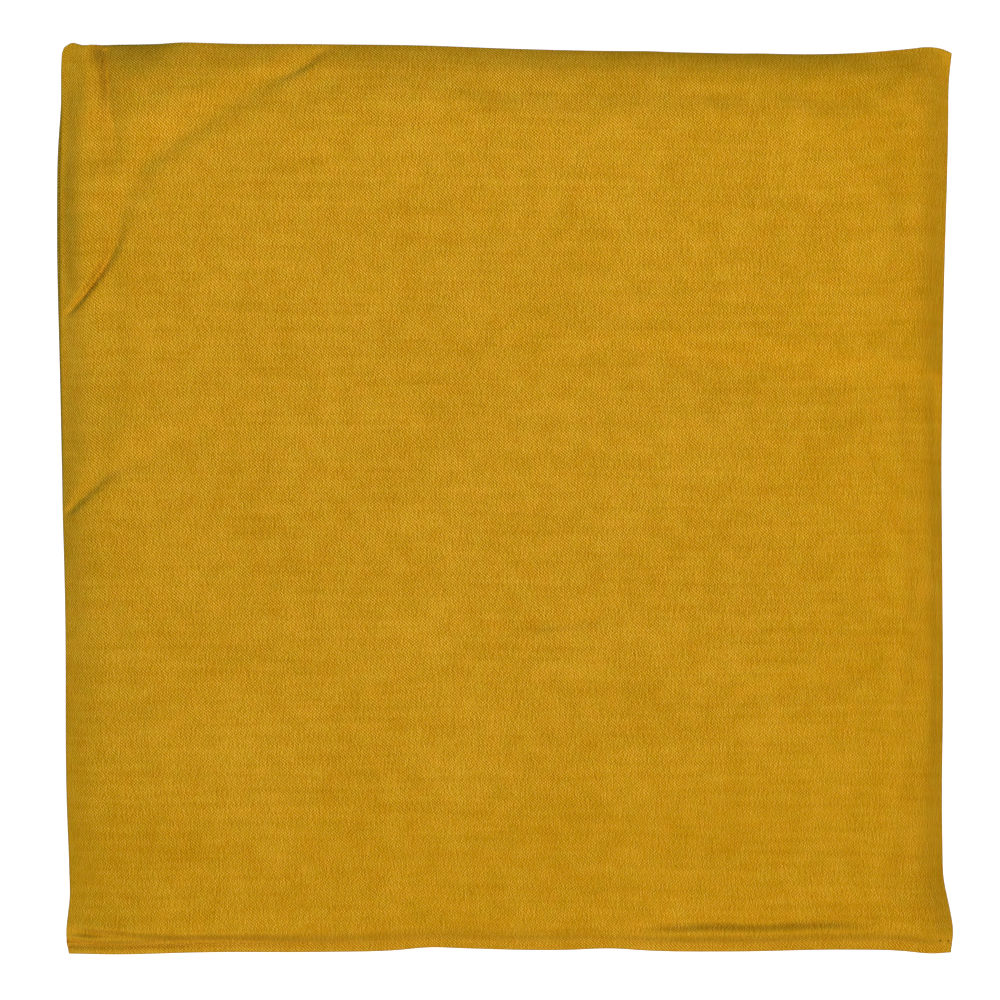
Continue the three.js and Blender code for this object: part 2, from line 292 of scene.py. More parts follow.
# %% Where the seam lies inside the back panel's bulge
# Share along the side, and how far in the seam lies, in mm
LEFT_INSET = [
    (0, 0), (0.45, 0.2), (0.49, 0.3), (0.53, 0.7), (0.66, 0.9), (0.76, 1.4), (0.88, 1.4), (0.92, 1.0),
    (0.95, 0.4), (0.98, 0), (1, 0),
]
FAR_INSET = [
    (0, 0), (0.03, 0), (0.045, 0.7), (0.1, 0.7), (0.13, 0),
    (0.66, 0), (0.69, 0.4), (0.75, 0.4), (0.78, 0), (1, 0),
]
INSET_REACH = 9.0
# Degrees round the back panel's roll: how far the tuck reaches, and where the bulge is widest
TUCKED_ANGLE = 14.0
BULGE_ANGLE = 25.0
BULGE_SHARE = 0.64


def tucked(distance, inset, front):
    """How far points move inwards, so that the back panel's bulge shows beside the seam."""
    angle = np.degrees(np.arccos(1 - np.clip(distance / FRONT_TURN, 0, 1)))
    swing = angle / BULGE_ANGLE
    back = soft_bump(angle, TUCKED_ANGLE) - BULGE_SHARE * swing * np.exp((1 - swing**2) / 2)
    return inset * np.where(front > 0, soft_bump(distance, INSET_REACH), back)


def filled_form(s, t, front):
    """Points of the filled bag, before it settles. `front` is 1 on the front panel, 0 on the back."""
    place = panel_places(s, t)
    seam, half = seam_height(s, t), edge_half(s, t)
    top = FILL_HEIGHT + CROWN * (1 - (2 * s - 1) ** 2) * (1 - (2 * t - 1) ** 2)
    top -= NEAR_DROP * soft_bump(t * LENGTH, NEAR_DROP_REACH)
    for x, y, height, reach in SWELLS:
        top += height * soft_bump(np.hypot(place[:, 0] - x, place[:, 1] - y), reach)
    full = np.ones_like(s)
    for corner, missing, reach in CORNER_SLACK:
        full *= 1 - missing * soft_bump(np.linalg.norm(place - corner, axis=1), reach)
    up = seam + half + (top - seam) * full * front_turn(s, t)
    down = (seam - half) * (1 - back_turn(s, t))
    place[:, 0] += tucked(s * WIDTH, along_side(t, LEFT_INSET), front)
    place[:, 1] -= tucked((1 - t) * LENGTH, along_side(s, FAR_INSET), front)
    return np.column_stack([place, np.where(front > 0, up, down)])


closing_height = max(height for _, height in NEAR_SEAM)
print(f"filled to {FILL_HEIGHT + CROWN:.1f} mm in the middle, closing seam at {closing_height:.1f} mm")

# %% [markdown]
# ## The two panels
#
# Each panel starts as a bmesh grid, like a square of cloth with its threads. The grid lines are even
# over the filling and crowd together where the cloth rolls over, so that the roll is smooth. The two
# grids share their border, and merging it sews them together. Every vertex remembers its place on
# the flat cloth, because the weave, the creases and the seams all need it later. The sewn edges are
# marked as creased, so that the subdivision to come keeps the outline where it is.

# %% Sew two grids into a bag
ROLL_STEPS = 12
OPEN_STEP = 3.2
SEWN_CLOSER_THAN = 0.01
ON_BORDER = 1e-6
ROLL_LINES = FRONT_TURN * (1 - np.cos(np.linspace(0, np.pi / 2, ROLL_STEPS + 1)))


def grid_shares(size):
    """Shares of the grid lines across a panel: fine in the two rolls, even between them."""
    between = np.arange(1, round((size - 2 * FRONT_TURN) / OPEN_STEP))
    step = (size - 2 * FRONT_TURN) / (between[-1] + 1)
    return np.concatenate([ROLL_LINES, FRONT_TURN + between * step, size - ROLL_LINES[::-1]]) / size


def on_border(s, t):
    """True on the sewn border of the panels."""
    return min(s, 1 - s, t, 1 - t) < ON_BORDER


def sewn_bag():
    """The filled bag as one closed mesh, in metres, with the cloth's own places as attributes."""
    columns, rows = grid_shares(WIDTH), grid_shares(LENGTH)
    bm = bmesh.new()
    across, along, front = (bm.verts.layers.float.new(name) for name in ("across", "along", "front"))
    cells = {"x_segments": len(columns) - 1, "y_segments": len(rows) - 1, "size": 0.5}
    for is_front in (1, 0):
        verts = bmesh.ops.create_grid(bm, **cells)["verts"]
        places = np.array([vert.co for vert in verts])
        s = columns[np.rint((places[:, 0] + 0.5) * cells["x_segments"]).astype(int)]
        t = rows[np.rint((places[:, 1] + 0.5) * cells["y_segments"]).astype(int)]
        points = filled_form(s, t, np.full_like(s, is_front)) * MM
        for vert, point, *values in zip(verts, points, s, t):
            vert.co = point
            vert[across], vert[along] = values
            vert[front] = is_front
        if not is_front:
            faces = {face for vert in verts for face in vert.link_faces}
            bmesh.ops.reverse_faces(bm, faces=list(faces))
    bmesh.ops.remove_doubles(bm, verts=bm.verts, dist=SEWN_CLOSER_THAN * MM)
    sharpness = bm.edges.layers.float.new("crease_edge")
    for edge in bm.edges:
        edge[sharpness] = float(all(on_border(vert[across], vert[along]) for vert in edge.verts))
    mesh = bpy.data.meshes.new("pillow_cloth")
    bm.to_mesh(mesh)
    bm.free()
    pillow = bpy.data.objects.new("pillow_cloth", mesh)
    bpy.context.scene.collection.objects.link(pillow)
    return pillow


pillow = sewn_bag()
print("bag:", len(pillow.data.vertices), "points,", len(pillow.data.polygons), "faces")

# %% [markdown]
# ## Letting the cloth settle
#
# Cloth that is only computed looks too perfect. Blender's Cloth physics lets the two panels settle
# over the filling: a little pressure from the seeds, cloth that is cut slightly too large, and no
# gravity, because the seeds already hold the form. The seam and the flat underside are held, so the
# outline and the resting face stay as they are. How far a point may move is capped, and on the firm
# rolls at the sides it moves less still. The result is written into the mesh, and one subdivision
# makes it smooth.

# %% Settle and subdivide
SETTLE_FRAMES = 20
MOST_SETTLING = 1.2
ROLL_FIRMNESS = 6
NO_WAY = 1e-6
# Settings of the cloth physics. A shrinkage below 0 makes the cloth too large by that share
CLOTH = {
    "quality": 6,
    "tension_stiffness": 20,
    "compression_stiffness": 20,
    "shear_stiffness": 8,
    "bending_stiffness": 0.6,
    "shrink_min": -0.006,
    "use_pressure": True,
    "uniform_pressure_force": 1.5,
}


def points_of(mesh):
    """The points of a mesh in mm."""
    flat = np.empty(3 * len(mesh.vertices), np.float32)
    mesh.vertices.foreach_get("co", flat)
    return flat.reshape(-1, 3).astype(float) / MM


def set_points(mesh, points):
    """Moves the points of a mesh, given in mm."""
    mesh.vertices.foreach_set("co", (points * MM).astype(np.float32).ravel())
    mesh.update()


def cloth_places(mesh):
    """Each point's shares across and along its panel, and 1 on the front panel or 0 on the back."""
    values = np.empty((3, len(mesh.vertices)), np.float32)
    for row, name in zip(values, ("across", "along", "front")):
        mesh.attributes[name].data.foreach_get("value", row)
    return values.astype(float)


def settle(pillow):
    """Runs the cloth physics and keeps its result, each point moved no further than the cap."""
    before = points_of(pillow.data)
    s, t, front = cloth_places(pillow.data)
    on_seam = np.min(side_distances(s, t), axis=0) < AT_THE_SEAM
    on_surface = (front < 0.5) & (before[:, 2] < AT_THE_SEAM)
    held = pillow.vertex_groups.new(name="held")
    held.add(np.flatnonzero(on_seam | on_surface).tolist(), 1.0, "REPLACE")
    physics = pillow.modifiers.new("settling", "CLOTH")
    physics.settings.vertex_group_mass = held.name
    for setting, value in CLOTH.items():
        setattr(physics.settings, setting, value)
    physics.settings.effector_weights.gravity = 0
    physics.collision_settings.use_collision = False
    physics.point_cache.frame_end = SETTLE_FRAMES
    for number in range(1, SETTLE_FRAMES + 1):
        bpy.context.scene.frame_set(number)
    moved = points_of(pillow.evaluated_get(bpy.context.evaluated_depsgraph_get()).data) - before
    pillow.modifiers.remove(physics)
    pillow.vertex_groups.remove(held)
    bpy.context.scene.frame_set(1)
    distance = np.linalg.norm(moved, axis=1, keepdims=True)
    moved *= MOST_SETTLING * np.tanh(distance / MOST_SETTLING) / np.maximum(distance, NO_WAY)
    moved *= front_turn(s, t)[:, None] ** ROLL_FIRMNESS
    set_points(pillow.data, before + moved)
    kept = np.linalg.norm(moved, axis=1)
    print(f"settled: points moved {kept.mean():.2f} mm on average, {kept.max():.2f} mm at most")


def subdivide(pillow):
    """One Catmull-Clark subdivision, written into the mesh."""
    modifier = pillow.modifiers.new("finer", "SUBSURF")
    modifier.levels = modifier.render_levels = 1
    coarse = pillow.data
    finer = bpy.data.meshes.new_from_object(pillow.evaluated_get(bpy.context.evaluated_depsgraph_get()))
    pillow.modifiers.remove(modifier)
    pillow.data = finer
    bpy.data.meshes.remove(coarse)
    finer.name = "pillow_cloth"


settle(pillow)
subdivide(pillow)
print("finer:", len(pillow.data.vertices), "points,", len(pillow.data.polygons), "faces")

# %% [markdown]
# ## Creases
#
# The slack cloth in the far left corner lies in an arc with a branch, a fold runs in from the middle
# of the left seam, and a long crease from the right one. A fold in cloth is seldom even: one side
# drops steeply and the other rises slowly into a roll. So each is a short table: points on its bottom
# line with a depth, a width to the right and to the left of the way that the rows run, and the height
# of the roll on the left. They are pressed in after the physics, which would smooth them away.
#
# A sharp fold needs a finer mesh than the open cloth. Only the faces round the sharp folds are cut
# finer, and the flat underside, which needs few faces, is made coarser again to pay for them.

# %% The folds
# x, y, depth, width to the right, width to the left, height of the roll on the left, all in mm
FOLDS = {
    "arc across the far left corner": [
        (-146, 61.4, 0.8, 1.1, 1.3, 0.0),
        (-142.6, 64.6, 2.0, 1.1, 1.3, 0.0),
        (-137.4, 71, 3.0, 1.3, 1.5, 0.2),
        (-131.5, 80, 2.3, 1.9, 1.9, 0.3),
        (-128.8, 87, 2.2, 2.4, 5.0, 0.2),
        (-128.3, 96, 2.6, 4.4, 9.0, 0.3),
        (-122.5, 107.5, 2.2, 4.4, 8.0, 0.4),
        (-114.5, 115.8, 2.1, 4.0, 7.0, 0.5),
        (-104, 123.5, 2.2, 4.2, 7.0, 0.5),
        (-94.5, 129.7, 2.1, 4.4, 6.0, 0.2),
        (-82.2, 137.8, 1.3, 3.4, 4.5, 0.0),
        (-75, 140.2, 1.4, 2.4, 3.2, 0.1),
        (-68.6, 143.1, 1.7, 1.9, 4.0, 0.0),
        (-64.8, 145.5, 1.2, 1.7, 3.5, 0.0),
        (-59, 150, 0.6, 1.6, 2.0, 0.1),
    ],
    "branch down from the far seam": [
        (-130.2, 107, 0.3, 5.0, 8.0, 0.0),
        (-130.5, 114, 3.8, 6.0, 8.0, 0.0),
        (-130.8, 120, 5.6, 6.0, 7.0, 0.0),
        (-131.4, 126, 4.8, 5.4, 5.0, 0.0),
        (-131.8, 131, 4.4, 5.4, 2.8, 0.1),
        (-132.2, 136, 4.6, 5.0, 2.0, 0.3),
        (-132.8, 141, 4.0, 4.4, 1.7, 0.4),
        (-133.2, 145.5, 3.2, 4.0, 1.6, 0.3),
        (-133.4, 149.2, 1.8, 4.0, 1.5, 0.0),
    ],
    "fold from the middle of the left seam": [
        (-146.8, -5.2, 0.7, 1.2, 1.3, 0.0),
        (-143.8, -3, 1.4, 1.4, 1.5, 0.0),
        (-140.3, 0.4, 1.5, 1.6, 3.0, 0.0),
        (-136.6, 3.9, 1.5, 1.9, 4.0, 0.0),
        (-130.4, 9.3, 1.7, 2.8, 6.0, 0.1),
        (-120, 13.5, 0.9, 4.0, 6.0, 0.4),
        (-105, 20.5, 0.4, 5.5, 5.0, 0.5),
        (-86, 28.5, 0.1, 6.0, 6.0, 0.2),
    ],
    "long crease from the right seam": [
        (-10, 57.5, 0.1, 18.0, 4.0, 0.1),
        (30, 50.5, 0.4, 18.0, 3.0, 0.3),
        (70, 47.4, 2.2, 18.0, 4.0, 0.5),
        (108, 43.4, 1.6, 18.0, 3.6, 0.5),
        (143, 38.6, 1.4, 16.0, 3.0, 0.4),
    ],
    "soft hollow above the middle": [
        (2, 106, 0.1, 6.0, 6.0, 0.1),
        (-6, 86, 0.25, 6.0, 6.0, 0.15),
        (-25, 66, 0.25, 6.0, 6.0, 0.15),
        (-60, 56, 0.1, 7.0, 7.0, 0.1),
    ],
    "short ripple at the upper right": [(58, 121, 0.1, 4.0, 4.0, 0.1), (85, 126, 0.2, 4.0, 4.0, 0.1)],
    "ripple beside it": [(98, 118, 0.1, 4.0, 4.0, 0.1), (116, 113, 0.2, 4.0, 4.0, 0.1)],
    "dent right of the middle": [(11, -42, 1.0, 2.2, 3.4, 0.1), (29, -40, 0.8, 2.2, 3.4, 0.1)],
    "ripple at the lower right": [(78, -66, 0.5, 3.5, 3.0, 0.2), (118, -58, 0.8, 3.5, 3.0, 0.3)],
    "tuck along the closing seam, right": [
        (140, -142.2, 0.6, 3.0, 2.4, 0.0),
        (126, -141.2, 0.9, 4.0, 2.6, 0.0),
        (119, -140.6, 3.0, 5.0, 2.6, 0.1),
        (98, -140.4, 3.6, 6.0, 2.6, 0.1),
        (85, -141.2, 3.4, 6.0, 2.6, 0.1),
        (70, -140.8, 3.6, 6.0, 2.6, 0.1),
        (50, -141.8, 3.3, 6.0, 2.6, 0.1),
        (38, -142.2, 2.0, 5.0, 2.6, 0.1),
        (22, -142.6, 0.3, 5.0, 2.4, 0.0),
    ],
    "tuck along the closing seam, left": [
        (-146, -144.6, 2.4, 1.8, 1.5, 0.2),
        (-141, -144.9, 3.0, 1.8, 1.5, 0.2),
        (-130, -145.6, 2.4, 1.5, 1.4, 0.3),
        (-105, -146.8, 1.6, 1.3, 1.2, 0.3),
        (-70, -146.8, 0.3, 1.4, 1.4, 0.1),
    ],
    "line beside the right seam": [
        (144.3, -112, 0.1, 0.9, 0.9, 0.0),
        (143.6, -75, 0.6, 0.9, 0.9, 0.0),
        (143.4, -30, 0.5, 0.9, 0.9, 0.0),
        (143.4, 10, 0.4, 0.9, 0.9, 0.0),
        (143.9, 50, 0.4, 0.9, 0.9, 0.0),
        (144.2, 68, 0.1, 0.9, 0.9, 0.0),
    ],
}
# How pointed a fold's bottom is: 2 is round, 1 is a sharp V
ROUND_BOTTOM = 2.0
POINTED = {"branch down from the far seam": 1.2}
FOLD_STATIONS = 80
ROLL_OFFSET = 1.6


def fold_line(rows):
    """The columns of one fold's table as soft lines through its rows, at even stations."""
    stations = np.linspace(0, len(rows) - 1, FOLD_STATIONS)
    return [smooth_curve(np.arange(len(rows)), column, stations) for column in zip(*rows)]


def fold_rise(rows, places, bottom):
    """How much one fold raises the cloth: down into its trough, up on the roll beside it."""
    x, y, depth, right, left, roll = fold_line(rows)
    heading = np.column_stack([np.gradient(x), np.gradient(y)])
    heading /= np.linalg.norm(heading, axis=1, keepdims=True)
    away = np.hypot(places[:, :1] - x, places[:, 1:] - y)
    nearest = away.argmin(axis=1)
    offset = places - np.column_stack([x, y])[nearest]
    ahead = (offset * heading[nearest]).sum(axis=1)
    leftward = heading[nearest, 0] * offset[:, 1] - heading[nearest, 1] * offset[:, 0]
    width = np.where(leftward > 0, left[nearest], right[nearest])
    trough = depth[nearest] * np.exp(-((away.min(axis=1) / width) ** bottom))
    beside = np.hypot(ahead, leftward - ROLL_OFFSET * left[nearest])
    return roll[nearest] * soft_bump(beside, left[nearest]) - trough


print(len(FOLDS), "folds, of", sum(len(rows) for rows in FOLDS.values()), "rows")

# %% A finer mesh round the sharp folds, a coarser one underneath
# A fold is sharp where it is narrower than the first and deeper than the second, in mm
SHARP_WIDTH = 2.7
SHARP_DEPTH = 0.65
SHARP_REACH = 4.0
SHARP_CUTS = 2
FLAT_FACING = -0.9999
COARSER_ROUNDS = 4


def sharp_faces(mesh):
    """Numbers of the front panel's faces that lie close to a sharp fold."""
    middles = np.empty(3 * len(mesh.polygons), np.float32)
    mesh.polygons.foreach_get("center", middles)
    middles = middles.reshape(-1, 3)[:, :2] / MM
    normals = np.empty(3 * len(mesh.polygons), np.float32)
    mesh.polygons.foreach_get("normal", normals)
    close = np.zeros(len(middles), bool)
    for rows in FOLDS.values():
        x, y, depth, right, left, _ = fold_line(rows)
        sharp = (np.minimum(right, left) < SHARP_WIDTH) & (depth > SHARP_DEPTH)
        if sharp.any():
            away = np.hypot(middles[:, :1] - x[sharp], middles[:, 1:] - y[sharp])
            close |= away.min(axis=1) < SHARP_REACH
    return np.flatnonzero(close & (normals.reshape(-1, 3)[:, 2] > 0))


def share_out_faces(pillow):
    """Cuts the faces round the sharp folds finer and takes faces out of the flat underside."""
    numbers = sharp_faces(pillow.data)
    bm = bmesh.new()
    bm.from_mesh(pillow.data)
    bm.faces.ensure_lookup_table()
    edges = {edge for number in numbers for edge in bm.faces[number].edges}
    bmesh.ops.subdivide_edges(bm, edges=list(edges), cuts=SHARP_CUTS, use_grid_fill=True)
    flat = [vert for vert in bm.verts if all(face.normal.z < FLAT_FACING for face in vert.link_faces)]
    bmesh.ops.unsubdivide(bm, verts=flat, iterations=COARSER_ROUNDS)
    bm.to_mesh(pillow.data)
    bm.free()


share_out_faces(pillow)
print("shared out:", len(pillow.data.vertices), "points,", len(pillow.data.polygons), "faces")

# %% Press the folds in
# Folds fade out towards the seam: they are full from 1 / FULL_DEPTH of the cloth's turn inwards
FULL_DEPTH = 2.5


def press_folds(pillow):
    """Adds every fold to the front panel, fading at the seam itself."""
    points = points_of(pillow.data)
    s, t, front = cloth_places(pillow.data)
    panel = np.flatnonzero(front > 0.5)
    places = points[panel, :2]
    free = np.clip(FULL_DEPTH * front_turn(s[panel], t[panel]), 0, 1)
    for name, rows in FOLDS.items():
        points[panel, 2] += free * fold_rise(rows, places, POINTED.get(name, ROUND_BOTTOM))
    set_points(pillow.data, points)


press_folds(pillow)
print("highest point, mm:", points_of(pillow.data)[:, 2].max().round(1))

# %% [markdown]
# ## Seeds, seams and puckers
#
# Four smaller things make the cloth read as a filled bag. The seeds press up through it as a faint
# lumpiness. The seam pulls a fine groove round three sides, where the turned cloth meets. Sewing always
# gathers the cloth a little, which leaves short puckers beside the seam. And the stitches of the
# closing edge pull a line into its flap. All are small moves of the mesh's points, sized by where a
# point lies on its panel, with Perlin noise for the chance in the lumps and puckers.

# %% Seeds, seam groove and puckers
SEED_SIZE = 6.0
SEED_RELIEF = 0.10
SEED_CHANCE = 3.7
DRIFT_SIZE = 24.0
DRIFT_RELIEF = 0.25
DRIFT_CHANCE = 11.3
SEAM_GROOVE = 0.15
SEAM_GROOVE_REACH = 0.8
SEAM_GROOVE_START = 10.0
PUCKER_SIZE = 9.0
PUCKER_STRETCH = 4
PUCKER_RELIEF = 0.2
PUCKER_REACH = 7.0
PUCKER_CHANCES = (1.1, 2.3, 4.9, 6.1)
# How deep the stitches pull the flap in: share from left to right, depth
STITCH_GROOVE = [(0, 1.5), (0.08, 1.5), (0.16, 0.9), (0.25, 0.8), (0.35, 0.3), (0.55, 0.2), (1, 0.15)]
STITCH_GROOVE_PLACE = 3.5
STITCH_GROOVE_REACH = 1.2


def patchy(x, y, size, chance):
    """Smooth chance values, about -1 to 1, in patches about `size` mm across."""
    return np.array([noise.noise((a / size, b / size, chance)) for a, b in zip(x, y)])


def work_in(pillow):
    """Adds the seeds' lumps, the puckers, the sewn groove and the stitch line."""
    points = points_of(pillow.data)
    s, t, front = cloth_places(pillow.data)
    left, right, near, far = side_distances(s, t)
    edge = np.minimum(np.minimum(left, right), far)
    across, along = s * WIDTH, t * LENGTH
    over_seeds = front_turn(s, t) * (front > 0.5)
    lumps = SEED_RELIEF * patchy(across, along, SEED_SIZE, SEED_CHANCE)
    drifts = DRIFT_RELIEF * patchy(across, along, DRIFT_SIZE, DRIFT_CHANCE)
    points[:, 2] += over_seeds * (lumps + drifts)
    sides = zip((left, right, far, near), (along, along, across, across), PUCKER_CHANCES)
    for distance, place, chance in sides:
        gathers = patchy(place, distance / PUCKER_STRETCH, PUCKER_SIZE, chance)
        beside = soft_bump(distance - PUCKER_REACH, PUCKER_REACH)
        points[:, 2] += PUCKER_RELIEF * gathers * beside * (front > 0.5)
    sewn = SEAM_GROOVE * soft_bump(quarter_round(edge, FRONT_TURN) * FRONT_TURN, SEAM_GROOVE_REACH)
    sewn *= np.clip(near / SEAM_GROOVE_START, 0, 1)
    inwards = np.column_stack([
        np.where(left < right, 1, -1) * (np.minimum(left, right) < far),
        -1.0 * (far < np.minimum(left, right)),
    ])
    points[:, :2] += sewn[:, None] * inwards
    facing = np.where(front > 0.5, -1, 1)
    pulled = along_side(s, STITCH_GROOVE) * soft_bump(near - STITCH_GROOVE_PLACE, STITCH_GROOVE_REACH)
    points[:, 2] += facing * pulled
    points[:, 2] = np.maximum(points[:, 2], 0)
    set_points(pillow.data, points)


work_in(pillow)
pillow.data.shade_smooth()
print("pillow, mm:", np.ptp(points_of(pillow.data), axis=0).round(1))

# %% [markdown]
# ## Threads on the cloth
#
# A weave painted straight down from above would smear on the rolled edges. So each point gets its
# place on the cloth as it was cut, with the rolls unrolled, in millimetres: the material reads that
# attribute and lays its threads along it.

# %% Unroll the cloth
UNROLL_STEPS = 2000


def cut_places(points, shares, share):
    """Places on the cloth as it was cut, from its middle: the way measured along the curved panel."""
    way = np.concatenate([[0], np.cumsum(np.linalg.norm(np.diff(points, axis=0), axis=1))])
    way -= np.interp(0.5, shares, way)
    return np.interp(share, shares, way)


s, t, front = cloth_places(pillow.data)
shares, middle, ones = np.linspace(0, 1, UNROLL_STEPS), np.full(UNROLL_STEPS, 0.5), np.ones(UNROLL_STEPS)
cut_across = cut_places(filled_form(shares, middle, ones), shares, s)
cut_along = cut_places(filled_form(middle, shares, ones), shares, t)
on_cloth = np.column_stack([cut_across, cut_along, front])
threads = pillow.data.attributes.new("thread_place", "FLOAT_VECTOR", "POINT")
threads.data.foreach_set("vector", on_cloth.astype(np.float32).ravel())
print("cut size of a panel, mm:", np.ptp(on_cloth[:, :2], axis=0).round(1))

# %% [markdown]
# ## The closing stitches
#
# The closing edge is topstitched with a lockstitch in thread of the cloth's own colour. A stitch that
# has sunk into the cloth is a plump lozenge, so a squashed sphere is set at every step along the
# stitch line, on both faces of the flap, each laid on the cloth by a ray. All stitches are one mesh.

# %% Sew the closing edge
STITCH_PITCH = 3.0
STITCH_SIZE = (1.3, 0.24, 0.22)
STITCH_SINK = 0.04
STITCH_WANDER = 0.12
STITCH_CHANCE = 7
STITCH_FACES = {"u_segments": 8, "v_segments": 6}
RAY_START = 100.0


def sew(pillow):
    """A row of stitches on the front and the back of the flap, as one mesh."""
    surface = BVHTree.FromObject(pillow, bpy.context.evaluated_depsgraph_get())
    chance = np.random.default_rng(STITCH_CHANCE)
    bm = bmesh.new()
    count = int(WIDTH / STITCH_PITCH)
    shares = (np.arange(count) + 0.5) / count
    wander = chance.normal(0, STITCH_WANDER, (count, 2))
    places = panel_places(shares, np.full(count, FLAP_WIDTH / LENGTH))
    headings = np.gradient(places, axis=0)
    sewn = 0
    for facing, half_pitch in ((1, 0), (-1, 0.5)):
        for place, heading, (sideways, lengthways) in zip(places, headings, wander):
            x, y = place + heading * half_pitch + (lengthways, sideways)
            start = Vector((x, y, facing * RAY_START)) * MM
            hit, normal, _, _ = surface.ray_cast(start, Vector((0, 0, -facing)))
            # A stitch that would lie past the end of the flap is left out
            if hit is None:
                continue
            along = Vector((*heading, 0)).normalized()
            along = (along - along.dot(normal) * normal).normalized()
            turn = Matrix((along, normal.cross(along), normal)).transposed().to_4x4()
            size = Matrix.Diagonal((*STITCH_SIZE, 1)) @ Matrix.Scale(MM, 4)
            made = Matrix.Translation(hit - normal * STITCH_SINK * MM) @ turn @ size
            bmesh.ops.create_uvsphere(bm, **STITCH_FACES, radius=1, matrix=made)
            sewn += 1
    mesh = bpy.data.meshes.new("closing_stitches")
    bm.to_mesh(mesh)
    bm.free()
    mesh.shade_smooth()
    stitches = bpy.data.objects.new("closing_stitches", mesh)
    bpy.context.scene.collection.objects.link(stitches)
    print(sewn, "stitches in", len(mesh.polygons), "faces")
    return stitches


stitches = sew(pillow)

# %% [markdown]
# ## Writing materials as sums
#
# A weave is arithmetic: waves along two threads, added and multiplied. Wiring that by hand is slow to
# read, so this small class wraps a node's socket. Python's operators on it add Math nodes, and `add`
# makes any other node from its type, its settings and its inputs. A colour ramp's stops count as a
# setting too, given as pairs of a place and a colour.

# %% A socket that can be used in sums
class Wire:
    def __init__(self, tree, socket=None):
        self.tree, self.socket = tree, socket

    def add(self, kind, settings=None, inputs=None, output=0):
        """A node of any kind: its settings are set first, then its inputs are filled or linked."""
        node = self.tree.nodes.new(kind)
        settings = dict(settings or {})
        for number, (place, colour) in enumerate(settings.pop("stops", ())):
            elements = node.color_ramp.elements
            stop = elements[number] if number < len(elements) else elements.new(place)
            stop.position, stop.color = place, colour
        for name, value in settings.items():
            setattr(node, name, value)
        for name, value in (inputs or {}).items():
            if isinstance(value, Wire):
                self.tree.links.new(value.socket, node.inputs[name])
            else:
                node.inputs[name].default_value = value
        return Wire(self.tree, node.outputs[output])

    def also(self, output):
        """Another output of the same node."""
        return Wire(self.tree, self.socket.node.outputs[output])

    def maths(self, operation, other=0.0):
        """One Math node on this value and another."""
        return self.add("ShaderNodeMath", {"operation": operation}, {0: self, 1: other})

    def __add__(self, other):
        return self.maths("ADD", other)

    def __sub__(self, other):
        return self.maths("SUBTRACT", other)

    def __mul__(self, other):
        return self.maths("MULTIPLY", other)

    def __rsub__(self, other):
        return self * -1 + other

    __radd__ = __add__
    __rmul__ = __mul__

    def chance(self, across, along, detail=2.0):
        """Smooth chance about 0, from two values whose unit is one patch."""
        place = self.add("ShaderNodeCombineXYZ", {}, {"X": across, "Y": along})
        return self.add("ShaderNodeTexNoise", {}, {"Vector": place, "Scale": 1.0, "Detail": detail}) - 0.5

    def speckle(self, across, along):
        """A chance value about 0 for every pair of whole numbers."""
        place = self.add("ShaderNodeCombineXYZ", {}, {"X": across, "Y": along})
        return self.add("ShaderNodeTexWhiteNoise", {"noise_dimensions": "2D"}, {"Vector": place}) - 0.5

    def mixed(self, how, share, first, second):
        """Two colours mixed or multiplied."""
        settings = {"data_type": "RGBA", "blend_type": how}
        return self.add("ShaderNodeMix", settings, {0: share, 6: first, 7: second}, output=2)

    def eased(self, start, end, first, last):
        """Goes softly from a first to a last value while this one goes from start to end."""
        places = {"Value": self, "From Min": start, "From Max": end, "To Min": first, "To Max": last}
        return self.add("ShaderNodeMapRange", {"interpolation_type": "SMOOTHSTEP"}, places)

    def along_ramp(self, stops):
        """The colour at this value on a ramp of stops."""
        return self.add("ShaderNodeValToRGB", {"stops": stops}, {"Fac": self})


def new_material(name):
    """An empty material: its shader node, and a wire to start from."""
    material = bpy.data.materials.new(name)
    material.use_nodes = True
    shader = material.node_tree.nodes["Principled BSDF"]
    return material, shader, Wire(material.node_tree)


def feed(wire, shader, socket):
    """Links a wire to a named socket of the shader."""
    wire.tree.links.new(wire.socket, shader.inputs[socket])


# %% [markdown]
# ## The mustard cotton
#
# The cloth is a plain weave of about seventeen by twenty threads to the centimetre. Seen from a step
# away, its over-and-under makes fine diagonals both ways. The falling ones are stronger, most of all
# over the far left part and on the flap, where the cloth lies squarest to the eye. The threads wander
# slightly, and each is lighter or darker along its length, which gives the short streaks of a slubby
# yarn. Fine lint speckles the whole. Threads and specks are each taken less a part of their
# neighbours, so that they stay fine and don't gather into patches. Slower chance patterns drift over
# the whole: bars along the weft, a mottle, and wide patches. At the near right corner the needle has
# left two small holes; the shade in them is painted into the colour as two dark dots.
#
# All of that only makes the cloth lighter or darker by some steps on the screen's scale of 255. So
# the sums are kept in such steps, and at the end a colour ramp turns them into colours: its stops are
# the cotton's colour with the steps added, divided by how bright the light is in red, green and blue.

# %% Weave the cotton
WARP_PITCH = 0.577
WEFT_PITCH = 0.497
LINT_WIDTH = 0.3
LINT_LENGTH = 0.42
COTTON = np.array((197, 144, 14))
STEP_SHARE = np.array((1.0, 1.06, 1.5))
LIGHT_LEVEL = np.array((1.455, 1.52, 2.2))
MOST_STEPS = 50
FALLING_STEPS = 24.5
RISING_STEPS = 8
LINT_STEPS = 40
WARP_STREAK_STEPS = 31
WEFT_STREAK_STEPS = 15
WEFT_BAR_STEPS = 17
MOTTLE_STEPS = 22
PATCH_STEPS = 16
NEIGHBOUR_LINT = 0.8
NEIGHBOUR_THREAD = 0.5
